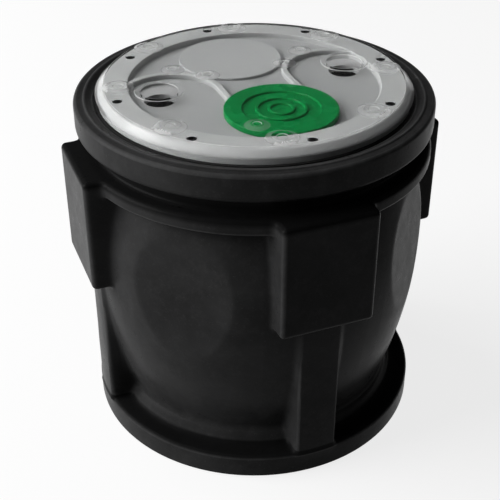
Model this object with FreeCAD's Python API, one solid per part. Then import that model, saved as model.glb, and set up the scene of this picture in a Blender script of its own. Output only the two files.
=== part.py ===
"""Sewage pump basin: a moulded tank with four inlet pads, a ringed foot and a bolted clear cover.

Millimetres, +Z up. The origin is on the floor, under the middle of the tank.
The front pad faces -Y and the right one +X.
"""
import FreeCAD, Part
import math
import os

V = FreeCAD.Vector
UP = V(0, 0, 1)
CENTRE = V(0, 0, 0)
CLOSE = 1e-5              # two sizes or places nearer than this are the same

# Overall sizes
BODY_R = 305.0            # outside of the foot ring and of the legs
RIM_TOP = 617.0           # crest of the rim above the floor
WALL = 8.0                # thickness of the moulded wall
FLOOR_T = 10.0            # thickness of the tank's bottom
SIDES = 4                 # pads, legs and panels round the tank

# Foot ring
FLANGE_H = 46.0           # flat top of the foot ring
FLANGE_W = 35.0           # from the outside of the ring in to the bead
FLANGE_ROUND = 8.0        # rounding of the ring's top edge
BEAD_H = 22.0             # bead between the flange and the barrel
BEAD_W = 12.0             # how far the bead leans in

# Barrel wall
BARREL_IN = 1.0           # widest barrel, inside BODY_R
ROOT_IN = 28.0            # barrel under the shoulder, inside BODY_R
FOOT_IN = 53.0            # barrel at the bead, inside BODY_R
BULGE_DROP = 144.0        # widest place, below the shoulder
OVAL_DEPTH = 10.5         # flat ovals, below the widest barrel

# Shoulder, neck and rim
SHOULDER_H = 27.0
SHOULDER_OUT = 3.0        # shoulder, beyond BODY_R
NECK_H = 31.0
NECK_IN = 25.0            # neck, inside BODY_R
RIM_H = 50.0
RIM_OUT = 3.5             # outside of the rim, beyond BODY_R
RIM_ROUND = 9.0           # rounding of the rim's outer edges
LIP_W = 18.0              # from the outside of the rim to the top of its inner slope
SLOPE_W = 15.5            # inner slope, down to the cover
LEDGE_T = 18.0            # ledge that carries the cover
LEDGE_W = 50.0
LEDGE_DROP = 9.0          # ledge below the rim's crest

# Inlet pads and the legs under them
PAD_W = 166.0
PAD_H = 208.0
PAD_PROUD = 22.0          # pad face, beyond BODY_R
PAD_ROUND = 9.0
LEG_W = 77.0

# Cover
GASKET_T = 3.0
COVER_GAP = 4.0           # between the cover's edge and the rim
COVER_H = 26.0            # from the gasket to the top of the clear sheet
COVER_EDGE_H = 12.0       # upright part of the cover's edge
EDGE_LEAN = 15.0          # how far the edge leans in above it
SHEET_T = 5.0             # clear sheet over the deck
EDGE_T = 5.0              # clear edge, measured level
FIT = 0.3                 # clearance between the clear cover and what lies in it
RECESS_IN = 56.0          # deck's recess, inside the cover's edge
RECESS = 10.5             # deck's recess, below its ring
DECK_T = 8.0              # floor of the deck

# Deck details
DISC_R = 94.0             # green disc
DISC_GAP = 2.0            # green disc to the deck's ring
DISH_IN = 30.0            # dish in the green disc, inside its edge
DISH_DEEP = 3.5
DISC_RINGS = 2            # plain raised rings in the dish
DISC_RING_W = 6.0
DISC_RING_PITCH = 20.0
PLATE_R = 92.0            # plain access plate
PLATE_GAP = 6.0           # access plate to the deck's ring
PLATE_T = 5.0
DECK_ROUND = 1.8          # rounded edges of the deck, the disc and the plate
PORT_R = 26.25            # bore of the two pipe seals
PORT_GAP = 5.0            # port collar to the deck's ring
SEAL_T = 3.0
SEAL_LIP = 6.0            # flange of the seal under the deck
SEAL_LIP_T = 3.0
COLLAR_GAP = 12.0         # seal to the outside of the clear collar round it
COLLAR_W = 10.0
COLLAR_H = 3.0
RIDGE_IN = 20.0           # centre of a ridge, inside its port
RIDGE_R = 80.0
RIDGE_W = 11.0
RIDGE_DROP = 1.5          # top of a ridge, below the deck's ring
RIDGE_ROUND = 2.5         # rounded top edges of a ridge
RECESS_ROUND = 3.5        # rounded foot of the recess's wall

# Cover screws
SCREWS = 8
SCREW_EDGE = 30.0         # screw circle, inside the cover's edge
SCREW_HOLE_R = 8.5
INSERT_R = 6.0            # threaded hole in the ledge
BOSS_IN = 10.0            # round bosses, inside the screw circle
BOSS_TURN = -11.0         # bosses, degrees round from the screws
BOSS_R = 27.0             # foot of a boss on the cover's edge
SMALL_BOSS_R = 21.0       # foot of a boss further in
RIDGE_BOSSES = (110, 155)     # bosses over a ridge, degrees round its centre
DISC_BOSS = 220           # boss over the green disc, degrees round its centre
BOSS_LEAN = 10.0          # how far a boss narrows to its top
BOSS_H = 3.0
BOSS_SINK = 4.0           # skirt of a boss, below the top of the sheet
BOSS_ROUND = 1.5          # rounded edges of the bosses and collars
CUP_R = 8.5
SMALL_CUP_R = 7.0
CUP_DEEP = 4.0

# Heights that follow
BEAD_TOP = FLANGE_H + BEAD_H
RIM_Z = RIM_TOP - RIM_H
SHOULDER_TOP = RIM_Z - NECK_H
SHOULDER_Z = SHOULDER_TOP - SHOULDER_H
PAD_Z = SHOULDER_TOP - PAD_H
BULGE_Z = SHOULDER_Z - BULGE_DROP
LEDGE_Z = RIM_TOP - LEDGE_DROP
DECK_Z = LEDGE_Z + GASKET_T
EDGE_Z = DECK_Z + COVER_EDGE_H
COVER_TOP = DECK_Z + COVER_H
DECK_TOP = COVER_TOP - SHEET_T - FIT
RECESS_Z = DECK_TOP - RECESS

# Radii that follow
BARREL_R = BODY_R - BARREL_IN
ROOT_R = BODY_R - ROOT_IN
FOOT_R = BODY_R - FOOT_IN
SHOULDER_R = BODY_R + SHOULDER_OUT
RIM_R = BODY_R + RIM_OUT
NECK_R = BODY_R - NECK_IN
PAD_FACE = BODY_R + PAD_PROUD
OVAL_D = BARREL_R - OVAL_DEPTH
MOUTH_R = RIM_R - LIP_W - SLOPE_W
LEDGE_R = MOUTH_R - LEDGE_W
COVER_R = MOUTH_R - COVER_GAP
SCREW_CIRCLE_R = COVER_R - SCREW_EDGE
RECESS_R = COVER_R - RECESS_IN
SEAL_R = PORT_R + SEAL_T
COLLAR_R = SEAL_R + COLLAR_GAP
PORT_X = RECESS_R - PORT_GAP - COLLAR_R
RIDGE_X = PORT_X - RIDGE_IN
DISC_Y = -(RECESS_R - DISC_GAP - DISC_R)
PLATE_Y = RECESS_R - PLATE_GAP - PLATE_R

# Turn of the four sides from the front, and of the four corners from the front right
SIDE_TURN = {"front": 0, "right": 90, "back": 180, "left": 270}
CORNER_TURN = {"front_right": 0, "back_right": 90, "back_left": 180, "front_left": 270}


def turned(shape, degrees):
    """A copy of a shape, turned about the tank's axis."""
    copy = shape.copy()
    copy.rotate(CENTRE, UP, degrees)
    return copy


def around(shape, angles):
    """Copies of a shape at several turns about the axis."""
    return [turned(shape, angle) for angle in angles]


def box(x0, x1, y0, y1, z0, z1):
    """A box between two corners."""
    return Part.makeBox(x1 - x0, y1 - y0, z1 - z0, V(x0, y0, z0))


def cylinder(r, z0, z1, x=0.0, y=0.0):
    """An upright cylinder."""
    return Part.makeCylinder(r, z1 - z0, V(x, y, z0))


def tube(r_out, r_in, z0, z1, x=0.0, y=0.0):
    """An upright tube."""
    return cylinder(r_out, z0, z1, x, y).cut(cylinder(r_in, z0, z1, x, y))


def line(a, b):
    """A straight edge of a profile, between two (radius, height) points."""
    return Part.LineSegment(V(a[0], 0, a[1]), V(b[0], 0, b[1])).toShape()


def arc(a, through, b):
    """A round edge of a profile, by three (radius, height) points."""
    return Part.Arc(*(V(r, 0, z) for r, z in (a, through, b))).toShape()


def polyline(points):
    """Straight edges through a list of profile points."""
    return [line(a, b) for a, b in zip(points, points[1:])]


def quarter(centre, radius, start, end):
    """A round profile edge about a centre, from one angle to another, in degrees."""
    def at(angle):
        a = math.radians(angle)
        return (centre[0] + radius * math.cos(a), centre[1] + radius * math.sin(a))
    return arc(at(start), at((start + end) / 2), at(end))


def revolved(edges):
    """A solid of revolution about the tank's axis from the edges of a closed profile."""
    wire = Part.Wire(Part.__sortEdges__(edges))
    return Part.Face(wire).revolve(CENTRE, UP, 360)


def one(shape):
    """The single solid in a result, with split faces joined up again."""
    clean = shape.removeSplitter()
    return clean.Solids[0] if len(clean.Solids) == 1 else clean


def barrel_r(z, inset=0.0):
    """Radius of the barrel at a height, or of a surface set in from it."""
    end_z, end_r = (SHOULDER_Z, ROOT_R) if z > BULGE_Z else (BEAD_TOP, FOOT_R)
    sag = BARREL_R - end_r
    bend = ((end_z - BULGE_Z) ** 2 + sag ** 2) / (2 * sag)
    return BARREL_R - bend + math.sqrt((bend - inset) ** 2 - (z - BULGE_Z) ** 2)


def barrel(inset, low, high):
    """The barrel as a full round, set in by a wall, with its four flat ovals."""
    def at(z):
        return (barrel_r(z, inset), z)
    edges = [
        arc(at(low), at((low + BULGE_Z) / 2), at(BULGE_Z)),
        arc(at(BULGE_Z), at((BULGE_Z + high) / 2), at(high)),
    ]
    edges += polyline([at(high), (0, high), (0, low), at(low)])
    flat = OVAL_D - inset
    ovals = turned(box(-flat, flat, -flat, flat, low, high), 180 / SIDES)
    return revolved(edges).common(ovals)


def upper_hollow():
    """The inside of the shoulder and the neck, up to the rim's ledge."""
    root = barrel_r(SHOULDER_Z, WALL)
    return revolved(polyline([
        (0, SHOULDER_Z), (root, SHOULDER_Z), (root, SHOULDER_Z + WALL),
        (SHOULDER_R - WALL, SHOULDER_Z + WALL), (SHOULDER_R - WALL, SHOULDER_TOP - WALL),
        (NECK_R - WALL, SHOULDER_TOP - WALL), (NECK_R - WALL, RIM_Z), (0, RIM_Z),
        (0, SHOULDER_Z),
    ]))


def foot_hollow():
    """The inside of the foot ring, above the tank's bottom."""
    wide = BODY_R - WALL
    return revolved(polyline([
        (0, FLOOR_T), (wide, FLOOR_T), (wide, FLANGE_H - WALL),
        (BODY_R - FLANGE_W - WALL, FLANGE_H - WALL), (barrel_r(BEAD_TOP, WALL), BEAD_TOP),
        (0, BEAD_TOP), (0, FLOOR_T),
    ]))


def front_pad_block():
    """The outside of the front inlet pad, with the edges of its face rounded."""
    block = box(-PAD_W / 2, PAD_W / 2, -PAD_FACE, -BODY_R / 2, PAD_Z, SHOULDER_TOP)
    edges = [e for e in block.Edges if abs(e.CenterOfMass.y + PAD_FACE) < CLOSE]
    return block.makeFillet(PAD_ROUND, edges)


def front_pad_hollow():
    """The pocket behind the front pad's face."""
    half = PAD_W / 2 - WALL
    return box(-half, half, -PAD_FACE + WALL, 0, PAD_Z + WALL, SHOULDER_TOP - WALL)


def front_leg_block():
    """The outside of the front leg, flush with the foot ring."""
    bar = box(-LEG_W / 2, LEG_W / 2, -BODY_R, -BODY_R / 2, FLANGE_H, PAD_Z)
    return bar.common(cylinder(BODY_R, FLANGE_H, PAD_Z))


def front_leg_hollow():
    """The channel in the front leg, from the foot ring up into the pad."""
    half = LEG_W / 2 - WALL
    bar = box(-half, half, -BODY_R, 0, FLOOR_T, PAD_Z + WALL)
    return bar.common(cylinder(BODY_R - WALL, FLOOR_T, PAD_Z + WALL))


def foot_ring_profile():
    """The outside of the foot ring with its rounded edge and its bead."""
    bead_r = BODY_R - FLANGE_W
    top_r = bead_r - BEAD_W
    edges = polyline([(0, 0), (BODY_R, 0), (BODY_R, FLANGE_H - FLANGE_ROUND)])
    edges.append(quarter((BODY_R - FLANGE_ROUND, FLANGE_H - FLANGE_ROUND), FLANGE_ROUND, 0, 90))
    edges += polyline([
        (BODY_R - FLANGE_ROUND, FLANGE_H), (bead_r, FLANGE_H), (top_r, BEAD_TOP),
        (0, BEAD_TOP), (0, 0),
    ])
    return edges


def rim_profile():
    """The rim: rounded outside, an inner slope to the cover, and the ledge under it."""
    ledge_low = LEDGE_Z - LEDGE_T
    round_r = RIM_R - RIM_ROUND
    edges = [
        quarter((round_r, RIM_Z + RIM_ROUND), RIM_ROUND, -90, 0),
        line((RIM_R, RIM_Z + RIM_ROUND), (RIM_R, RIM_TOP - RIM_ROUND)),
        quarter((round_r, RIM_TOP - RIM_ROUND), RIM_ROUND, 0, 90),
    ]
    edges += polyline([
        (round_r, RIM_TOP), (RIM_R - LIP_W, RIM_TOP), (MOUTH_R, DECK_Z),
        (MOUTH_R, LEDGE_Z), (LEDGE_R, LEDGE_Z), (LEDGE_R, ledge_low),
        (NECK_R - WALL, RIM_Z), (round_r, RIM_Z),
    ])
    return edges


def screw_angles():
    """The turns of the cover's screws about the axis, in degrees."""
    return [i * 360 / SCREWS for i in range(SCREWS)]


def screw_holes(radius, z0, z1):
    """A ring of upright holes on the screw circle."""
    return around(cylinder(radius, z0, z1, SCREW_CIRCLE_R), screw_angles())


def edge_bosses():
    """The middles of the bosses round the cover's edge."""
    ring_r = SCREW_CIRCLE_R - BOSS_IN
    turns = [math.radians(angle + BOSS_TURN) for angle in screw_angles()]
    return [(ring_r * math.cos(a), ring_r * math.sin(a)) for a in turns]


def inner_bosses():
    """The middles of the bosses over the ridges and over the green disc's edge."""
    places = []
    on_ridge = RIDGE_R + RIDGE_W / 2
    for side in (-1, 1):
        for angle in RIDGE_BOSSES:
            a = math.radians(angle)
            places.append((side * (RIDGE_X + on_ridge * math.cos(a)), on_ridge * math.sin(a)))
    a = math.radians(DISC_BOSS)
    edge_r = DISC_R - SMALL_BOSS_R / 2
    places.append((edge_r * math.cos(a), DISC_Y + edge_r * math.sin(a)))
    return places


def edges_at(shape, z):
    """The edges of a shape that lie flat at one height."""
    flat = [e for e in shape.Edges if e.BoundBox.ZLength < CLOSE]
    return [e for e in flat if abs(e.BoundBox.ZMin - z) < CLOSE]


def top_rounded(shape, radius):
    """A shape with the outline of its highest flat faces rounded over."""
    return shape.makeFillet(radius, edges_at(shape, shape.BoundBox.ZMax))


def cover_edge_r(inset, z):
    """Radius of the cover's edge at a height, or of a surface set in from it."""
    share = max(z - EDGE_Z, 0.0) / (COVER_TOP - EDGE_Z)
    return COVER_R - inset - EDGE_LEAN * share


def tray(inset, top):
    """A solid with the outline of the cover, set in from its edge, up to a height."""
    edge = [(cover_edge_r(inset, z), z) for z in (DECK_Z, EDGE_Z, top)]
    return revolved(polyline([(0, DECK_Z)] + edge + [(0, top), (0, DECK_Z)]))


def boss(x, y, foot_r, cup_r):
    """A low round clear boss that narrows to its top, with a cup in it."""
    top = COVER_TOP + BOSS_H
    body = Part.makeCone(foot_r, foot_r - BOSS_LEAN, BOSS_H, V(x, y, COVER_TOP))
    body = body.fuse(cylinder(foot_r, COVER_TOP - BOSS_SINK, COVER_TOP, x, y))
    return top_rounded(body.cut(cylinder(cup_r, top - CUP_DEEP, top, x, y)), BOSS_ROUND)


def radius_of(edge):
    """Radius of a round edge, and nothing for a straight one."""
    return edge.Curve.Radius if isinstance(edge.Curve, Part.Circle) else 0.0


def is_any_of(value, others):
    """Whether a size is the same as one of several others."""
    return any(abs(value - other) < CLOSE for other in others)


def ridge(side):
    """A ridge that curves from the deck's ring round one port and runs on to the green disc."""
    height = (RECESS_Z, DECK_TOP - RIDGE_DROP)
    ring = tube(RIDGE_R + RIDGE_W, RIDGE_R, *height, side * RIDGE_X, 0)
    arch = ring.common(box(-BODY_R, BODY_R, 0, BODY_R, *height))
    inner_x = RIDGE_X - RIDGE_R
    ends = sorted((side * inner_x, side * (inner_x - RIDGE_W)))
    run = box(*ends, DISC_Y, 0, *height)
    kept = one(arch.fuse(run).common(cylinder(RECESS_R, *height)))
    kept = kept.cut(cylinder(DISC_R + FIT, *height, 0, DISC_Y))
    ends = (RECESS_R, DISC_R + FIT)
    long = [e for e in edges_at(kept, height[1]) if not is_any_of(radius_of(e), ends)]
    return kept.makeFillet(RIDGE_ROUND, long)


def cover_deck():
    """The grey deck: a ring, a recessed floor with two ridges, and its holes."""
    deck = tray(EDGE_T + FIT, DECK_TOP).cut(cylinder(RECESS_R, RECESS_Z, DECK_TOP))
    deck = top_rounded(deck, DECK_ROUND)
    deck = deck.makeFillet(RECESS_ROUND, edges_at(deck, RECESS_Z))
    deck = deck.cut(cylinder(RECESS_R, DECK_Z, RECESS_Z - DECK_T))
    deck = deck.fuse([ridge(-1), ridge(1)])
    ports = [cylinder(SEAL_R, DECK_Z, DECK_TOP, side * PORT_X) for side in (-1, 1)]
    return one(deck.cut(ports + screw_holes(SCREW_HOLE_R, DECK_Z, DECK_TOP)))


def clear_cover():
    """The clear cover: a flat sheet with a leaning edge, bosses and port collars."""
    shell = top_rounded(tray(0, COVER_TOP), BOSS_ROUND).cut(tray(EDGE_T, DECK_TOP + FIT))
    sheet = COVER_TOP - SHEET_T
    collar_top = COVER_TOP + COLLAR_H
    for side in (-1, 1):
        hole_r = COLLAR_R - COLLAR_W
        collar = tube(COLLAR_R, hole_r, COVER_TOP, collar_top, side * PORT_X)
        shell = shell.cut(cylinder(hole_r, sheet, COVER_TOP, side * PORT_X))
        shell = shell.fuse(top_rounded(collar, BOSS_ROUND))
    bosses = [boss(x, y, BOSS_R, CUP_R) for x, y in edge_bosses()]
    bosses += [boss(x, y, SMALL_BOSS_R, SMALL_CUP_R) for x, y in inner_bosses()]
    shell = shell.fuse(bosses)
    return one(shell.cut(screw_holes(SCREW_HOLE_R, sheet, COVER_TOP + BOSS_H)))


def green_disc():
    """The green disc, flush with the deck's ring, with plain rings in a shallow dish."""
    dish_z = DECK_TOP - DISH_DEEP
    disc = cylinder(DISC_R, RECESS_Z, DECK_TOP, 0, DISC_Y)
    disc = disc.makeFillet(DECK_ROUND, edges_at(disc, RECESS_Z))
    disc = disc.cut(cylinder(DISC_R - DISH_IN, dish_z, DECK_TOP, 0, DISC_Y))
    for i in range(DISC_RINGS):
        r = (i + 1) * DISC_RING_PITCH
        ring = (r + DISC_RING_W / 2, r - DISC_RING_W / 2)
        disc = disc.fuse(tube(*ring, dish_z, DECK_TOP, 0, DISC_Y))
    return one(top_rounded(disc, DECK_ROUND))


def access_plate():
    """The plain round plate on the deck's floor, at the back."""
    return top_rounded(cylinder(PLATE_R, RECESS_Z, RECESS_Z + PLATE_T, 0, PLATE_Y), DECK_ROUND)


def port_seal(side):
    """A pipe seal: a sleeve through the deck with a flange under it."""
    x = side * PORT_X
    under = RECESS_Z - DECK_T
    sleeve = tube(SEAL_R, PORT_R, under, RECESS_Z, x)
    return one(sleeve.fuse(tube(SEAL_R + SEAL_LIP, PORT_R, under - SEAL_LIP_T, under, x)))


def build():
    """All the pieces of the basin, by name."""
    sides = list(SIDE_TURN.values())
    skin = barrel(0, BEAD_TOP, SHOULDER_Z)
    inside = barrel(WALL, BEAD_TOP, SHOULDER_Z)
    neck_inside = upper_hollow()
    foot_inside = foot_hollow()
    pad_boxes = around(box(-PAD_W / 2, PAD_W / 2, -PAD_FACE, 0, PAD_Z, SHOULDER_TOP), sides)
    leg_boxes = around(box(-LEG_W / 2, LEG_W / 2, -BODY_R, 0, FLANGE_H, PAD_Z), sides)
    leg_hollows = around(front_leg_hollow(), sides)

    pieces = {}
    floor = cylinder(BODY_R - WALL, 0, FLOOR_T)
    pieces["sump_floor"] = floor
    foot = revolved(foot_ring_profile())
    pieces["base_ring"] = one(foot.cut([floor, foot_inside] + leg_boxes + leg_hollows))

    pad = front_pad_block().cut([inside, neck_inside, front_pad_hollow(), front_leg_hollow()])
    leg = front_leg_block().cut([inside, foot_inside, front_leg_hollow()])
    for name, turn in SIDE_TURN.items():
        pieces["inlet_pad_" + name] = turned(one(pad), turn)
        pieces["leg_" + name] = turned(one(leg), turn)

    wall = skin.cut([inside] + pad_boxes + leg_boxes)
    shoulder = cylinder(SHOULDER_R, SHOULDER_Z, SHOULDER_TOP).cut([neck_inside] + pad_boxes)
    corner = box(0, RIM_R, -RIM_R, 0, 0, RIM_TOP)
    for name, turn in CORNER_TURN.items():
        wedge = turned(corner, turn)
        pieces["wall_panel_" + name] = one(wall.common(wedge))
        pieces["shoulder_" + name] = one(shoulder.common(wedge))

    pieces["neck_ring"] = tube(NECK_R, NECK_R - WALL, SHOULDER_TOP, RIM_Z)
    rim = revolved(rim_profile())
    pieces["rim_ring"] = one(rim.cut(screw_holes(INSERT_R, RIM_Z, LEDGE_Z)))

    gasket = tube(COVER_R, LEDGE_R, LEDGE_Z, DECK_Z)
    pieces["cover_gasket"] = one(gasket.cut(screw_holes(SCREW_HOLE_R, LEDGE_Z, DECK_Z)))
    pieces["cover_deck"] = cover_deck()
    pieces["clear_cover"] = clear_cover()
    pieces["green_disc"] = green_disc()
    pieces["access_plate"] = access_plate()
    pieces["port_seal_left"] = port_seal(-1)
    pieces["port_seal_right"] = port_seal(1)
    return pieces


os.makedirs("parts", exist_ok=True)
for node, piece in build().items():
    state = "" if piece.isValid() and len(piece.Solids) == 1 else " CHECK"
    print("%-26s %d solid, %.0f cm3%s" % (node, len(piece.Solids), piece.Volume / 1000, state))
    piece.exportStep("parts/%s.step" % node)
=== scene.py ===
from functools import lru_cache
from math import atan2, cos, hypot, pi, radians, sin, sqrt

import bmesh
import bpy
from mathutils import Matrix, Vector


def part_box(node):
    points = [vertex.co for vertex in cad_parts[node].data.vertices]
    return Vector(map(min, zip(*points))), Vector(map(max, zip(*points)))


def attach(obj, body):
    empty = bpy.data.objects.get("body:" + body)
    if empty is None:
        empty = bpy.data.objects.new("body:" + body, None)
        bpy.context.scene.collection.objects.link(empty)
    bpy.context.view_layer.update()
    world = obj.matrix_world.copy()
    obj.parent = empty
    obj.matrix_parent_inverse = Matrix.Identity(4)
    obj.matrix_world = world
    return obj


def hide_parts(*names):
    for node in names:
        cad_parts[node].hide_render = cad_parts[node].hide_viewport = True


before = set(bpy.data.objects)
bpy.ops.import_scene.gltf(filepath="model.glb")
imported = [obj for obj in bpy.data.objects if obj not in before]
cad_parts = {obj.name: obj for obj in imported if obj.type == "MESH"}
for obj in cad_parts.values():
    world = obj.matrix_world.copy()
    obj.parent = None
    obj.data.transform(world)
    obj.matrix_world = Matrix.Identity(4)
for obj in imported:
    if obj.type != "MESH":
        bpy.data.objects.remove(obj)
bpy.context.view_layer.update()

scene = bpy.context.scene

# The tank
# One hollow moulding of black polyethylene: foot ring, barrel, four flat inlet pads on
# legs, shoulder and rim all come out of one mould, so every inside corner is a soft fillet.
RIM_LOW, RIM_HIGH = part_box("rim_ring")
PAD_LOW, PAD_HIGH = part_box("inlet_pad_right")
RIM_R = RIM_HIGH.x
NECK_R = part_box("neck_ring")[1].x
FOOT_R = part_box("leg_right")[1].x
LEG_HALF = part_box("leg_right")[1].y
SHOULDER_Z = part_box("shoulder_front_right")[0].z
SHOULDER_TOP = PAD_HIGH.z
BEAD_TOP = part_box("base_ring")[1].z
FLOOR_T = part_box("sump_floor")[1].z
WALL = 0.008
SHOULDER_R = FOOT_R + 0.003
BARREL_R = FOOT_R - 0.001        # widest barrel
ROOT_R = FOOT_R - 0.028          # barrel under the shoulder
STEM_R = FOOT_R - 0.053          # barrel at the bead
BULGE_Z = SHOULDER_Z - 0.144     # height of the widest barrel
OVAL_D = BARREL_R - 0.0132       # flat ovals, from the axis at their middle
OVAL_LEAN = 0.038                # how far they lean in, for their height
OVAL_SOFT = 0.0006               # softness of their outline
FLANGE_H = 0.046
BEAD_R = FOOT_R - 0.035          # foot of the bead
BEAD_LEAN = 0.012
BEAD_ROUND = 0.006
SOLE_ROUND = 0.004               # lower edge of the foot
FOOT_ROUND = 0.008               # upper edge of the foot
PAD_ROUND = 0.009
LEG_ROUND = 0.008
SHOULDER_ROUND = 0.006
NECK_ROUND = 0.006
FLANGE_FILLET = 0.008
PAD_FILLET = 0.008
LEG_FILLET = 0.010
SHOULDER_FILLET = 0.010
FILLET_START = 0.018             # where the close rings under an edge begin
FILLET_GAPS = (0.013, 0.009, 0.006, 0.0035, 0.0015, 0.0003)    # and the rings after that
CLIMB_END = 0.170                # height where the foot's rings stop climbing the legs
PUSH = radians(30)               # slope at which the foot's rings climb a leg
RAY_START = 0.110                # from the profile, well outside every pad
RAY_STEPS = 90


def smooth_min(a, b, k):
    """The lesser of two distances, eased over a fillet of size k."""
    h = max(k - abs(a - b), 0.0) / k
    return min(a, b) - h * h * k / 4


def smooth_max(a, b, k):
    """The greater of two distances, eased over an edge of size k."""
    return -smooth_min(-a, -b, k)


def rounded(sides, radius):
    """Distance outside a block with rounded edges, from the distances outside its faces."""
    grown = [s + radius for s in sides]
    outside = sqrt(sum(max(g, 0.0) ** 2 for g in grown))
    return outside + min(max(grown), 0.0) - radius


def barrel_r(z):
    """Radius of the barrel: one arc above its widest place and one below."""
    end_z, end_r = (SHOULDER_Z, ROOT_R) if z > BULGE_Z else (BEAD_TOP, STEM_R)
    sag = BARREL_R - end_r
    bend = ((end_z - BULGE_Z) ** 2 + sag ** 2) / (2 * sag)
    return BARREL_R - bend + sqrt(max(bend ** 2 - (z - BULGE_Z) ** 2, 0.0))


def moulding(r, z, turn):
    """How far a point is outside the moulding, turned from the middle of the nearest pad."""
    along = r * cos(turn)
    across = r * sin(turn)
    flat = r * cos(pi / 4 - turn) - OVAL_D + OVAL_LEAN * (z - BULGE_Z)
    shape = smooth_max(r - barrel_r(z), flat, OVAL_SOFT)
    slope = hypot(BEAD_TOP - FLANGE_H, BEAD_LEAN)
    bead = ((r - BEAD_R) * (BEAD_TOP - FLANGE_H) + (z - FLANGE_H) * BEAD_LEAN) / slope
    bead = smooth_max(bead, z - BEAD_TOP, BEAD_ROUND)
    shape = smooth_min(shape, bead, BEAD_ROUND)
    flange = rounded((r - FOOT_R, z - FLANGE_H), FOOT_ROUND)
    shape = smooth_min(shape, flange, FLANGE_FILLET)
    leg = rounded((r - FOOT_R, across - LEG_HALF), LEG_ROUND)
    shape = smooth_min(shape, leg, LEG_FILLET)
    pad = rounded((along - PAD_HIGH.x, across - PAD_HIGH.y, PAD_LOW.z - z), PAD_ROUND)
    shape = smooth_min(shape, pad, PAD_FILLET)
    shoulder = rounded((r - SHOULDER_R, SHOULDER_Z - z), SHOULDER_ROUND)
    return smooth_min(shape, shoulder, SHOULDER_FILLET)


@lru_cache(maxsize=None)
def skin(r, z, rise, turn, depth):
    """Where a ray from outside through a profile point meets the moulding, or its wall inside."""
    across, up = cos(rise), sin(rise)
    t = RAY_START
    for _ in range(RAY_STEPS):
        gap = moulding(r + t * across, z + t * up, turn) + depth
        if gap < 1e-6:
            break
        t -= gap
    return r + t * across, z + t * up


def plain_ring(r, z):
    """A ring of the moulding that is simply turned."""
    return lambda turn: (r, z, turn)


def wall_ring(r, z, rise=0.0, depth=0.0):
    """A ring of the moulding that follows the barrel, the legs and the pads."""
    def at(turn):
        side_r, side_z = skin(r, z, rise, abs(turn), depth)
        return side_r, side_z, turn
    return at


def crown_ring(inset, z, share):
    """A ring on the rounded top of the shoulder and pads, share of the way in to the neck."""
    def outline(turn):
        side_r = skin(BARREL_R, SHOULDER_TOP - PAD_ROUND, 0.0, abs(turn), 0.0)[0]
        return Vector((side_r * cos(turn), side_r * sin(turn)))

    def at(turn):
        step = 0.004             # turn to each side, for the outline's direction
        along = (outline(turn + step) - outline(turn - step)).normalized()
        edge = outline(turn) - inset * Vector((along.y, -along.x))
        edge = edge.lerp(Vector((NECK_R * cos(turn), NECK_R * sin(turn))), share)
        return edge.length, z, atan2(edge.y, edge.x)
    return at


def arc(centre, radius, start, end, steps):
    """Profile points round a centre, from one angle to another."""
    turns = [radians(start + (end - start) * i / steps) for i in range(steps + 1)]
    return [(centre[0] + radius * cos(a), centre[1] + radius * sin(a)) for a in turns]


def spaced(start, end, steps):
    """Even values from one to another, without the first."""
    return [start + (end - start) * (i + 1) / steps for i in range(steps)]


def eased(start, radius, angles):
    """Heights over a rounded lower edge, at angles round it in degrees."""
    return [start + radius * (1 - cos(radians(a))) for a in angles]


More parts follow.
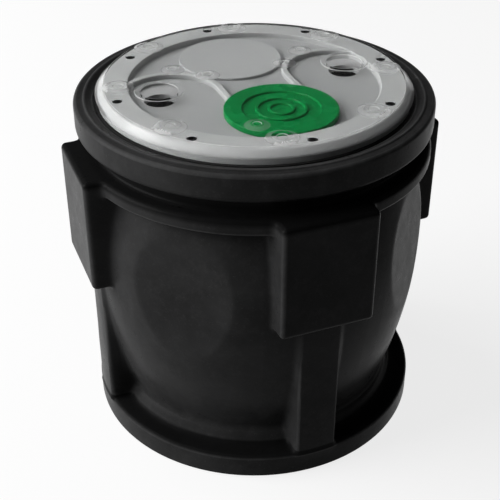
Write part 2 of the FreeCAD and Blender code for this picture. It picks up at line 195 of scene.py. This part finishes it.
def tank_rings():
    """The rings of the tank from the middle of its bottom, up outside and down inside."""
    rings = [plain_ring(0.0, 0.0), plain_ring(0.16, 0.0), plain_ring(FOOT_R - 0.02, 0.0)]
    sole = arc((FOOT_R - SOLE_ROUND, SOLE_ROUND), SOLE_ROUND, -90, 0, 3)
    rings += [plain_ring(r, z) for r, z in sole]
    rings += [plain_ring(FOOT_R, z) for z in spaced(SOLE_ROUND, FLANGE_H - FOOT_ROUND, 2)]
    edge = arc((FOOT_R - FOOT_ROUND, FLANGE_H - FOOT_ROUND), FOOT_ROUND, 0, 90, 6)
    rings += [wall_ring(r, z, PUSH) for r, z in edge[1:]]
    rings += [wall_ring(r, FLANGE_H, PUSH) for r in spaced(edge[-1][0], BEAD_R + 0.002, 4)]
    for share in spaced(0.0, 0.9, 6):
        z = FLANGE_H + share * (BEAD_TOP - FLANGE_H)
        rings.append(wall_ring(BEAD_R - share * BEAD_LEAN, z, PUSH))
    rings.append(wall_ring(BEAD_R - BEAD_LEAN - 0.002, BEAD_TOP - 0.0005, PUSH))
    for z in spaced(BEAD_TOP + 0.001, CLIMB_END, 12):
        rise = PUSH * (CLIMB_END - z) / (CLIMB_END - BEAD_TOP)
        rings.append(wall_ring(barrel_r(z), z, rise))
    heights = spaced(CLIMB_END, PAD_LOW.z - 0.024, 24)
    heights += [PAD_LOW.z - gap for gap in (FILLET_START,) + FILLET_GAPS]
    heights += eased(PAD_LOW.z, PAD_ROUND, range(6, 91, 12))
    heights += spaced(PAD_LOW.z + PAD_ROUND, SHOULDER_Z - FILLET_START, 25)
    heights += [SHOULDER_Z - gap for gap in FILLET_GAPS]
    heights += eased(SHOULDER_Z, SHOULDER_ROUND, (8, 24, 40, 56, 72, 90))
    heights += spaced(SHOULDER_Z + SHOULDER_ROUND, SHOULDER_TOP - PAD_ROUND, 3)
    rings += [wall_ring(BARREL_R, z) for z in heights]
    top = arc((0.0, SHOULDER_TOP - PAD_ROUND), PAD_ROUND, 0, 90, 7)
    rings += [crown_ring(PAD_ROUND - r, z, 0.0) for r, z in top[1:]]
    rings += [crown_ring(PAD_ROUND, SHOULDER_TOP, share) for share in (0.25, 0.5, 0.7)]
    root = arc((NECK_R + NECK_ROUND, SHOULDER_TOP + NECK_ROUND), NECK_ROUND, -90, -180, 4)
    rings += [plain_ring(r, z) for r, z in root]
    rings += rim_rings()
    for z in spaced(RIM_LOW.z, SHOULDER_TOP, 2):
        rings.append(plain_ring(NECK_R - WALL, z))
    inner = [SHOULDER_TOP - 0.012, SHOULDER_Z + 0.012, SHOULDER_Z - 0.004]
    inner += spaced(SHOULDER_Z - 0.012, PAD_LOW.z + 0.012, 4)
    inner += [PAD_LOW.z + 0.006, PAD_LOW.z - 0.002]
    inner += spaced(PAD_LOW.z - 0.012, BEAD_TOP + 0.010, 5)
    rings += [wall_ring(BARREL_R, z, depth=WALL) for z in inner]
    well_r, well_round = STEM_R - WALL, 0.012
    rings += [plain_ring(well_r, BEAD_TOP - 0.010), plain_ring(well_r, FLOOR_T + well_round)]
    rings += [plain_ring(r, FLOOR_T) for r in (well_r - well_round, 0.14, 0.0)]
    return rings


def rim_rings():
    """The rings of the rim: a rounded outside, a stepped crest, a slope and the cover's ledge."""
    low_round, top_round = 0.009, 0.007
    band_z = RIM_HIGH.z - 0.0020         # flat band outside the crest
    crest_r = RIM_R - 0.0180
    mouth_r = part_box("cover_gasket")[1].x + 0.004
    slope_r, slope_z = crest_r - 0.0022, RIM_HIGH.z - 0.0003      # top of the slope
    slope_w, slope_h = crest_r - 0.0027 - mouth_r, 0.0057
    ledge_r = 0.225
    ledge_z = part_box("cover_gasket")[0].z
    points = arc((NECK_R + NECK_ROUND, RIM_LOW.z - NECK_ROUND), NECK_ROUND, 180, 90, 4)
    points += [(NECK_R + 0.012, RIM_LOW.z)]
    points += arc((RIM_R - low_round, RIM_LOW.z + low_round), low_round, -90, 0, 6)
    points += [(RIM_R, z) for z in spaced(RIM_LOW.z + low_round, band_z - top_round, 2)]
    points += arc((RIM_R - top_round, band_z - top_round), top_round, 0, 90, 7)[1:]
    points += [(r, band_z) for r in spaced(RIM_R - top_round, crest_r + 0.0036, 3)]
    points += [(crest_r + 0.0024, band_z + 0.0003), (crest_r + 0.0016, band_z + 0.0010),
               (crest_r + 0.0006, RIM_HIGH.z - 0.0002), (crest_r - 0.0006, RIM_HIGH.z),
               (slope_r, slope_z)]
    for share in spaced(0.0, 1.0, 6):
        fall = slope_h * sin(share * pi / 2) ** 1.2
        points.append((slope_r - share * slope_w, slope_z - fall))
    points += [(mouth_r, RIM_HIGH.z - 0.0075), (mouth_r, ledge_z), (mouth_r - 0.002, ledge_z)]
    points += [(ledge_r + 0.002, ledge_z), (ledge_r, ledge_z - 0.002), (ledge_r, ledge_z - 0.018)]
    points += [(NECK_R - WALL, RIM_LOW.z)]
    return [plain_ring(r, z) for r, z in points]


def column_turns():
    """Turns of the columns from the middle of a pad to a corner, close at leg and pad sides."""
    turns = [0.0]
    stretches = ((6.0, 3), (9.6, 10), (11.9, 6), (19.0, 18), (25.0, 2), (45.0, 22))
    for end, steps in stretches:         # end in degrees, and columns up to it
        turns += [radians(a) for a in spaced(turns[-1] * 180 / pi, end, steps)]
    return turns


def piece(name, mesh, slot_name, material, *nodes):
    """A finished piece on the fixed body, standing for CAD nodes."""
    made = bpy.data.objects.new(name, mesh)
    scene.collection.objects.link(made)
    mesh.materials.clear()
    mesh.materials.append(material)
    flats = made.modifiers.new("flat faces", "WEIGHTED_NORMAL")
    flats.weight = 100
    flats.keep_sharp = True
    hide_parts(*nodes)
    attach(made, "root")


def edge_bend(edge):
    """How sharply the skin bends over an edge: one over its radius, and positive outside."""
    first, second = (face.calc_center_median() for face in edge.link_faces)
    return edge.calc_face_angle_signed(0.0) / (first - second).length


def tank_mesh():
    """The tank as a spun profile, with its columns drawn to the legs, pads and ovals."""
    rings = tank_rings()
    turns = column_turns()
    half = len(turns) - 1
    columns = 8 * half
    bm = bmesh.new()
    ring_of = bm.verts.layers.int.new("ring")
    verts = []
    for i, ring in enumerate(rings):
        r, z, _ = ring(turns[-1])
        vert = bm.verts.new((max(r, 1e-4), 0.0, z))
        vert[ring_of] = i
        verts.append(vert)
    edges = [bm.edges.new(pair) for pair in zip(verts, verts[1:])]
    bmesh.ops.spin(bm, geom=verts + edges, cent=(0, 0, 0), axis=(0, 0, 1), angle=2 * pi,
                   steps=columns, use_merge=True)
    for vert in bm.verts:
        column = round(atan2(vert.co.y, vert.co.x) * columns / (2 * pi))
        quarter = round(column / (2 * half))
        offset = column - quarter * 2 * half
        turn = turns[abs(offset)] * (1 if offset >= 0 else -1)
        r, z, turn = rings[vert[ring_of]](turn)
        angle = quarter * pi / 2 + turn
        vert.co = (r * cos(angle), r * sin(angle), z)
    bmesh.ops.remove_doubles(bm, verts=bm.verts[:], dist=2e-6)
    bmesh.ops.recalc_face_normals(bm, faces=bm.faces[:])
    bend = bm.verts.layers.float.new("bend")
    for vert in bm.verts:
        vert[bend] = max(edge_bend(edge) for edge in vert.link_edges)
    bm.verts.layers.int.remove(ring_of)
    mesh = bpy.data.meshes.new("tank")
    bm.to_mesh(mesh)
    bm.free()
    mesh.shade_smooth()
    return mesh


def node(tree, kind, inputs=None, **settings):
    """A shader node with its settings, and its inputs set or linked."""
    made = tree.nodes.new(kind)
    for name, value in settings.items():
        setattr(made, name, value)
    for name, value in (inputs or {}).items():
        if isinstance(value, bpy.types.NodeSocket):
            tree.links.new(value, made.inputs[name])
        else:
            made.inputs[name].default_value = value
    return made


def new_material(name):
    """A material with its shader and output, and the coordinates of the piece."""
    material = bpy.data.materials.new(name)
    material.use_nodes = True
    tree = material.node_tree
    tree.nodes.clear()
    output = node(tree, "ShaderNodeOutputMaterial")
    shader = node(tree, "ShaderNodeBsdfPrincipled")
    tree.links.new(shader.outputs["BSDF"], output.inputs["Surface"])
    place = node(tree, "ShaderNodeTexCoord").outputs["Object"]
    return material, tree, shader, place


def noise(tree, place, scale, detail, roughness=0.5):
    """Soft noise of one size over the piece."""
    inputs = {"Vector": place, "Scale": scale, "Detail": detail, "Roughness": roughness}
    return node(tree, "ShaderNodeTexNoise", inputs).outputs["Fac"]


def ranged(tree, value, low, high, new_low, new_high):
    """A value stretched from one range to another and kept inside it."""
    inputs = {"Value": value, "From Min": low, "From Max": high,
              "To Min": new_low, "To Max": new_high}
    return node(tree, "ShaderNodeMapRange", inputs).outputs["Result"]


def mixed(tree, share, first, second):
    """A colour between two others."""
    inputs = {0: share, 6: first, 7: second}     # sockets of a mix of colours, whose names repeat
    return node(tree, "ShaderNodeMix", inputs, data_type="RGBA").outputs[2]


def maths(tree, operation, *values):
    """A result from numbers and sockets."""
    return node(tree, "ShaderNodeMath", dict(enumerate(values)), operation=operation).outputs[0]


def bumped(tree, height, distance, strength, below=None):
    """A bump of one height, over another bump."""
    inputs = {"Height": height, "Distance": distance, "Strength": strength}
    if below:
        inputs["Normal"] = below
    return node(tree, "ShaderNodeBump", inputs).outputs["Normal"]


def shade_band(tree, height, low, high, soft):
    """Near 1 between two heights and 0 beyond a soft edge: a band of painted shade."""
    above = ranged(tree, height, low - soft, low, 0.0, 0.9)
    below = ranged(tree, height, high, high + soft, 1.0, 0.0)
    return maths(tree, "MULTIPLY", above, below)


def black_plastic():
    """Black moulded polyethylene, satin, clouded and scuffed, with a painted highlight along its
    convex edges and painted shade on its neck and the flange's top.
    """
    material, tree, shader, place = new_material("black_plastic")
    clouds = noise(tree, place, 6.0, 5.0, 0.60)
    scuffs = noise(tree, place, 38.0, 8.0, 0.75)
    specks = noise(tree, place, 260.0, 3.0, 0.6)
    grain = noise(tree, place, 900.0, 2.0)
    waves = noise(tree, place, 14.0, 2.0)
    shade = ranged(tree, clouds, 0.36, 0.66, 0.0, 1.0)
    colour = mixed(tree, shade, (0.025, 0.025, 0.0252, 1), (0.042, 0.042, 0.0425, 1))
    dust = ranged(tree, scuffs, 0.50, 0.78, 0.0, 0.55)
    colour = mixed(tree, dust, colour, (0.060, 0.060, 0.0605, 1))
    specked = ranged(tree, specks, 0.60, 0.78, 0.0, 0.6)
    colour = mixed(tree, specked, colour, (0.070, 0.070, 0.0705, 1))
    # Painted highlight: sharply bent convex edges are painted lighter, more where the scuffs are.
    bend = node(tree, "ShaderNodeAttribute", attribute_name="bend").outputs["Fac"]
    edge_highlight = ranged(tree, bend, 70.0, 180.0, 0.0, 1.0)
    edge_highlight = maths(tree, "MULTIPLY", edge_highlight, ranged(tree, scuffs, 0.3, 0.7, 0.35, 1.0))
    colour = mixed(tree, edge_highlight, colour, (0.080, 0.080, 0.0805, 1))
    # Painted shade: the neck, the underside of the rim, the tops of the shoulder and pads, and the
    # top of the foot's flange are painted nearly black.
    height = node(tree, "ShaderNodeSeparateXYZ", {0: place}).outputs["Z"]
    neck = shade_band(tree, height, SHOULDER_TOP - 0.006, RIM_LOW.z + 0.002, soft=0.008)
    flange = shade_band(tree, height, FLANGE_H - 0.002, FLANGE_H + 0.004, soft=0.003)
    kept = maths(tree, "MAXIMUM", neck, flange)
    colour = mixed(tree, kept, colour, (0.006, 0.006, 0.0061, 1))
    tree.links.new(colour, shader.inputs["Base Color"])
    tree.links.new(ranged(tree, scuffs, 0.3, 0.75, 0.24, 0.40), shader.inputs["Roughness"])
    bump = bumped(tree, waves, 0.0012, 0.30)
    bump = bumped(tree, grain, 0.0002, 0.20, bump)
    tree.links.new(bump, shader.inputs["Normal"])
    shader.inputs["Specular IOR Level"].default_value = 0.022
    shader.inputs["Sheen Weight"].default_value = 0.028
    shader.inputs["Sheen Roughness"].default_value = 0.30
    return material


CORNERS = ("front_right", "back_right", "back_left", "front_left")
SIDES = ("front", "right", "back", "left")
TANK_NODES = ["base_ring", "sump_floor", "neck_ring", "rim_ring"]
TANK_NODES += [kind + side for kind in ("inlet_pad_", "leg_") for side in SIDES]
TANK_NODES += [kind + corner for kind in ("wall_panel_", "shoulder_") for corner in CORNERS]
piece("tank_moulding", tank_mesh(), "basin_black", black_plastic(), *TANK_NODES)

# The gasket
# A flat ring of black rubber, cut from sheet. It lies on the ledge and is squeezed
# between the rim and the cover by the cover's screws.
CREASE = radians(32)             # a sharper edge stays sharp


def smooth_copy(name, painted_light=None, is_rounded=None, radius=0.0):
    """The mesh of a CAD node, merged, its edges rounded, its faces given a share of painted light
    or shade, and shaded smooth.
    """
    bm = bmesh.new()
    bm.from_mesh(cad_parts[name].data)
    bmesh.ops.remove_doubles(bm, verts=bm.verts[:], dist=1e-6)
    bmesh.ops.dissolve_limit(bm, angle_limit=radians(0.5), verts=bm.verts[:], edges=bm.edges[:])
    bmesh.ops.recalc_face_normals(bm, faces=bm.faces[:])
    if is_rounded:
        edges = [e for e in bm.edges if is_rounded(e)]
        bmesh.ops.bevel(bm, geom=edges, offset=radius, segments=2, profile=0.5, affect="EDGES",
                        material=-1, clamp_overlap=True)
    if painted_light:
        marked = bm.faces.layers.float.new("painted_light")
        for face in bm.faces:
            face[marked] = painted_light(face)
    mesh = bpy.data.meshes.new(name)
    bm.to_mesh(mesh)
    bm.free()
    mesh.attributes.remove(mesh.attributes["custom_normal"])
    mesh.shade_smooth()
    mesh.set_sharp_from_angle(angle=CREASE)
    return mesh


def black_rubber():
    """Dull black rubber."""
    material, tree, shader, place = new_material("black_rubber")
    grain = noise(tree, place, 700.0, 3.0)
    clouds = noise(tree, place, 40.0, 4.0)
    colour = mixed(tree, clouds, (0.010, 0.010, 0.010, 1), (0.020, 0.020, 0.020, 1))
    tree.links.new(colour, shader.inputs["Base Color"])
    tree.links.new(ranged(tree, grain, 0.3, 0.7, 0.70, 0.85), shader.inputs["Roughness"])
    tree.links.new(bumped(tree, grain, 0.0002, 0.3), shader.inputs["Normal"])
    return material


piece("gasket", smooth_copy("cover_gasket"), "rubber_black", black_rubber(), "cover_gasket")

# The deck with its access plate and pipe seals
# Grey injection-moulded plastic with a fine satin grain. The plate and the seals are
# pressed into the deck, which is screwed down through the eight holes in its ring.
RECESS_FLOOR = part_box("green_disc")[0].z
SCREWS = 8
SCREW_CIRCLE_R = 0.241
BORE_R = 0.0085
BORE_NEAR = 0.001                # a bore's faces lie no further out than this
SCREW_TURNS = [2 * pi * i / SCREWS for i in range(SCREWS)]
SCREW_AXES = [Vector((cos(turn), sin(turn))) * SCREW_CIRCLE_R for turn in SCREW_TURNS]


def from_screws(point):
    """How far a point is from the axis of the nearest screw."""
    return min((point.xy - axis).length for axis in SCREW_AXES)


def painted_bore_shade(face):
    """1 for a wall of a screw hole, which gets painted shade, and 0 elsewhere."""
    near = from_screws(face.calc_center_median()) < BORE_R + BORE_NEAR
    return float(near and abs(face.normal.z) < 0.5)


def grey_plastic():
    """Light grey plastic, with painted shade that darkens it towards the floor of the recess and
    in the screw holes.
    """
    material, tree, shader, place = new_material("grey_plastic")
    clouds = noise(tree, place, 12.0, 4.0)
    grain = noise(tree, place, 800.0, 2.0)
    colour = mixed(tree, ranged(tree, clouds, 0.3, 0.7, 0.0, 1.0),
                   (0.370, 0.370, 0.372, 1), (0.405, 0.405, 0.405, 1))
    height = node(tree, "ShaderNodeSeparateXYZ", {0: place}).outputs["Z"]
    # Painted shade: darker over the lowest 8 mm above the recess floor.
    recess_shade = ranged(tree, height, RECESS_FLOOR, RECESS_FLOOR + 0.008, 0.85, 0.0)
    colour = mixed(tree, recess_shade, colour, (0.300, 0.300, 0.302, 1))
    # Painted shade: the walls of the screw holes are painted nearly black.
    bore = node(tree, "ShaderNodeAttribute", attribute_name="painted_light").outputs["Fac"]
    colour = mixed(tree, bore, colour, (0.012, 0.012, 0.012, 1))
    tree.links.new(colour, shader.inputs["Base Color"])
    tree.links.new(ranged(tree, clouds, 0.3, 0.7, 0.34, 0.46), shader.inputs["Roughness"])
    tree.links.new(bumped(tree, grain, 0.0002, 0.15), shader.inputs["Normal"])
    shader.inputs["Specular IOR Level"].default_value = 0.10
    return material


grey = grey_plastic()
piece("deck", smooth_copy("cover_deck", painted_bore_shade), "deck_grey", grey, "cover_deck")
piece("plate", smooth_copy("access_plate"), "deck_grey", grey, "access_plate")
for side in ("left", "right"):
    piece("seal_" + side, smooth_copy("port_seal_" + side), "deck_grey", grey, "port_seal_" + side)

# The green disc
# One glossy green plastic moulding, let into a seat in the deck. Plain raised rings lie
# in its shallow dish.


def green_plastic():
    """Glossy green plastic."""
    material, tree, shader, place = new_material("green_plastic")
    clouds = noise(tree, place, 20.0, 4.0)
    grain = noise(tree, place, 600.0, 2.0)
    colour = mixed(tree, ranged(tree, clouds, 0.3, 0.7, 0.0, 1.0),
                   (0.0, 0.150, 0.033, 1), (0.0, 0.178, 0.040, 1))
    tree.links.new(colour, shader.inputs["Base Color"])
    tree.links.new(ranged(tree, clouds, 0.3, 0.7, 0.22, 0.32), shader.inputs["Roughness"])
    tree.links.new(bumped(tree, grain, 0.0002, 0.1), shader.inputs["Normal"])
    shader.inputs["Specular IOR Level"].default_value = 0.10
    return material


piece("green_disc_cap", smooth_copy("green_disc"), "disc_green", green_plastic(), "green_disc")

# The clear cover
# A thin tray of clear acrylic, moulded with a leaning edge, round bosses and a collar at
# each port. It lies over the deck, and the same eight screws hold it.
LEAN_R = 0.250                   # where the leaning edge begins
COVER_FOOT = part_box("clear_cover")[0].z
BOSS_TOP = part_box("clear_cover")[1].z
COVER_ROUND = 0.0012
FOOT_EDGE_H = 0.003              # height of the leaning edge's lower corner
SCREW_CLEAR = 0.002              # kept sharp round a screw hole
TOP_NEAR = 0.0005                # an edge of a boss's top lies no lower than this
TOP_CREASE = radians(8)          # and is rounded from this bend on
# How far up a face's normal points, from 0 on a wall to 1 on a flat top
FLAT_UP = 0.99                   # flat faces, at least
SLOPE_UP = 0.93                  # slopes of the bosses, at least
LEAN_UP = 0.80                   # the leaning edge, at most
LEAN_LEAST_UP = 0.5              # the leaning edge, at least
FOOT_UP = 0.70                   # its lower corner, at most
ROUND_UP = 0.15                  # rounded edges of the bosses and collars, at least


def rounded_corner(edge):
    """True for an outer corner of the cover that its mould rounds, away from the screws."""
    middle = (edge.verts[0].co + edge.verts[1].co) / 2
    on_top = min(v.co.z for v in edge.verts) > BOSS_TOP - TOP_NEAR
    least = TOP_CREASE if on_top else CREASE
    return edge.calc_face_angle_signed(0.0) > least and from_screws(middle) > BORE_R + SCREW_CLEAR


def painted_edge_highlight(face):
    """How pale a face of the cover is, for a painted highlight: fully on rounded edges, mostly on
    the bosses' sides, partly on the leaning edge and a little on gentle slopes.
    """
    place, up = face.calc_center_median(), face.normal.z
    rounds, lean, bosses, slopes = 1.0, 0.36, 0.8, 0.20
    if place.xy.length > LEAN_R:
        lower = up < FOOT_UP and place.z < COVER_FOOT + FOOT_EDGE_H
        if LEAN_UP < up < FLAT_UP or lower:
            return rounds
        return lean if LEAN_LEAST_UP < up <= LEAN_UP else 0.0
    if ROUND_UP < up < SLOPE_UP:
        return bosses
    return slopes if SLOPE_UP <= up < FLAT_UP else 0.0


def clear_acrylic():
    """Clear acrylic that lets the lamps through to what lies under it.

    Its IOR is low and a coat gives the gloss, because light stays trapped in the tray's
    walls at acrylic's own IOR and they turn black.
    """
    material, tree, shader, place = new_material("clear_acrylic")
    haze = noise(tree, place, 30.0, 5.0)
    colour = mixed(tree, haze, (0.96, 0.98, 0.97, 1), (0.99, 1.0, 0.995, 1))
    tree.links.new(colour, shader.inputs["Base Color"])
    tree.links.new(ranged(tree, haze, 0.3, 0.7, 0.0, 0.06), shader.inputs["Roughness"])
    # Painted highlight: the pale faces let less light through and scatter it white, in place of
    # the bright lines on the cover's edges and bosses.
    pale = node(tree, "ShaderNodeAttribute", attribute_name="painted_light").outputs["Fac"]
    tree.links.new(ranged(tree, pale, 0.0, 1.0, 1.0, 0.35), shader.inputs["Transmission Weight"])
    shader.inputs["IOR"].default_value = 1.05
    shader.inputs["Subsurface Weight"].default_value = 1.0
    shader.inputs["Subsurface Radius"].default_value = (1.0, 1.0, 1.0)
    shader.inputs["Subsurface Scale"].default_value = 0.01
    shader.inputs["Coat Weight"].default_value = 0.5
    shader.inputs["Coat IOR"].default_value = 1.40
    shader.inputs["Coat Roughness"].default_value = 0.16
    ray = node(tree, "ShaderNodeLightPath")
    open_shader = node(tree, "ShaderNodeBsdfTransparent")
    both = node(tree, "ShaderNodeMixShader")
    tree.links.new(ray.outputs["Is Shadow Ray"], both.inputs[0])
    tree.links.new(shader.outputs["BSDF"], both.inputs[1])
    tree.links.new(open_shader.outputs["BSDF"], both.inputs[2])
    output = next(n for n in tree.nodes if n.type == "OUTPUT_MATERIAL")
    tree.links.new(both.outputs["Shader"], output.inputs["Surface"])
    return material


cover_mesh = smooth_copy("clear_cover", painted_edge_highlight, rounded_corner, COVER_ROUND)
piece("clear_lid", cover_mesh, "clear_plastic", clear_acrylic(), "clear_cover")

# The studio
# A plain pale floor, a white surround, two soft lamps and the camera of the photograph.
# The floor and the surround look white, but light the basin only a little.
FLOOR_SIZE = 60.0
FLOOR_GLOW = 0.80                # for the rays that show the floor
SKY_GLOW = 0.95                  # for the rays that show the surround,
SKY_FILL = 0.05                  # and for all rays
bm = bmesh.new()
bmesh.ops.create_grid(bm, x_segments=1, y_segments=1, size=FLOOR_SIZE / 2)
floor_mesh = bpy.data.meshes.new("floor")
bm.to_mesh(floor_mesh)
bm.free()
studio_floor = bpy.data.objects.new("floor", floor_mesh)
scene.collection.objects.link(studio_floor)
floor_paint, floor_tree, floor_shader, _ = new_material("floor_paint")
floor_shader.inputs["Base Color"].default_value = (0.25, 0.25, 0.25, 1)
floor_shader.inputs["Roughness"].default_value = 0.9


def seen_rays(tree, *kinds):
    """1 for rays from the camera and of the given kinds that no dull surface scattered, else 0."""
    ray = node(tree, "ShaderNodeLightPath")
    seen = ray.outputs["Is Camera Ray"]
    for kind in kinds:
        seen = maths(tree, "MAXIMUM", seen, ray.outputs[kind])
    straight = maths(tree, "LESS_THAN", ray.outputs["Diffuse Depth"], 0.5)
    return maths(tree, "MULTIPLY", seen, straight)


floor_shader.inputs["Emission Color"].default_value = (1, 1, 1, 1)
seen = seen_rays(floor_tree, "Is Glossy Ray", "Is Transmission Ray")
glow = maths(floor_tree, "MULTIPLY", seen, FLOOR_GLOW)
floor_tree.links.new(glow, floor_shader.inputs["Emission Strength"])
floor_mesh.materials.append(floor_paint)

world = bpy.data.worlds.new("surround")
world.use_nodes = True
sky = world.node_tree
sky.nodes["Background"].inputs["Color"].default_value = (1, 1, 1, 1)
glow = maths(sky, "MULTIPLY_ADD", seen_rays(sky), SKY_GLOW, SKY_FILL)
sky.links.new(glow, sky.nodes["Background"].inputs["Strength"])
scene.world = world


def soft_lamp(name, place, aim, width, watts):
    """A square soft lamp that faces a point."""
    lamp = bpy.data.lights.new(name, "AREA")
    lamp.size = width
    lamp.energy = watts
    holder = bpy.data.objects.new(name, lamp)
    holder.location = place
    holder.rotation_euler = (Vector(aim) - Vector(place)).to_track_quat("-Z", "Y").to_euler()
    scene.collection.objects.link(holder)


MIDDLE = (0, 0, 0.35)
soft_lamp("key_lamp", (-7.0, 1.9, 3.6), MIDDLE, width=6.0, watts=760)
soft_lamp("top_lamp", (-2.4, 2.8, 8.2), MIDDLE, width=2.0, watts=110)

eye = bpy.data.cameras.new("camera")
eye.lens = 74.0
camera = bpy.data.objects.new("camera", eye)
camera.location = (-0.6009, -1.5107, 1.3456)
camera.rotation_euler = (radians(56.9), 0, radians(-21.43))
scene.collection.objects.link(camera)
scene.camera = camera
scene.view_settings.view_transform = "Standard"
